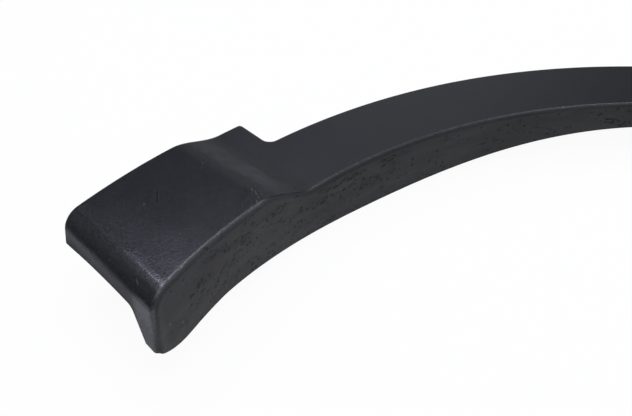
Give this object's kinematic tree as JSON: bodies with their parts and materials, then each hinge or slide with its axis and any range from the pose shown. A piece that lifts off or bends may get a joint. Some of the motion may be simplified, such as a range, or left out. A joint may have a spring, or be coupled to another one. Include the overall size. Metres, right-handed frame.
{
  "type": "wheel arch trim",
  "caption": "Half-round moulded trim for the edge of a car's wheel opening, with a flange, a wide raised foot and push-in clips on its back.",
  "frame": {"origin": "below the middle of the trim's outline, on the surface that it lies on, face up", "axes": "+X along the car from the foot to the far end, +Y up the car, +Z outward from the car, which is up as it lies"},
  "size_m": [0.8988, 0.5883, 0.0601],
  "materials": {
    "moulding": "fine moulded grain, satin, worn",
    "clips": "natural, satin"
  },
  "bodies": {
    "root": {"arch_trim": "moulding", "retaining_clips": "clips"}
  },
  "joints": []
}
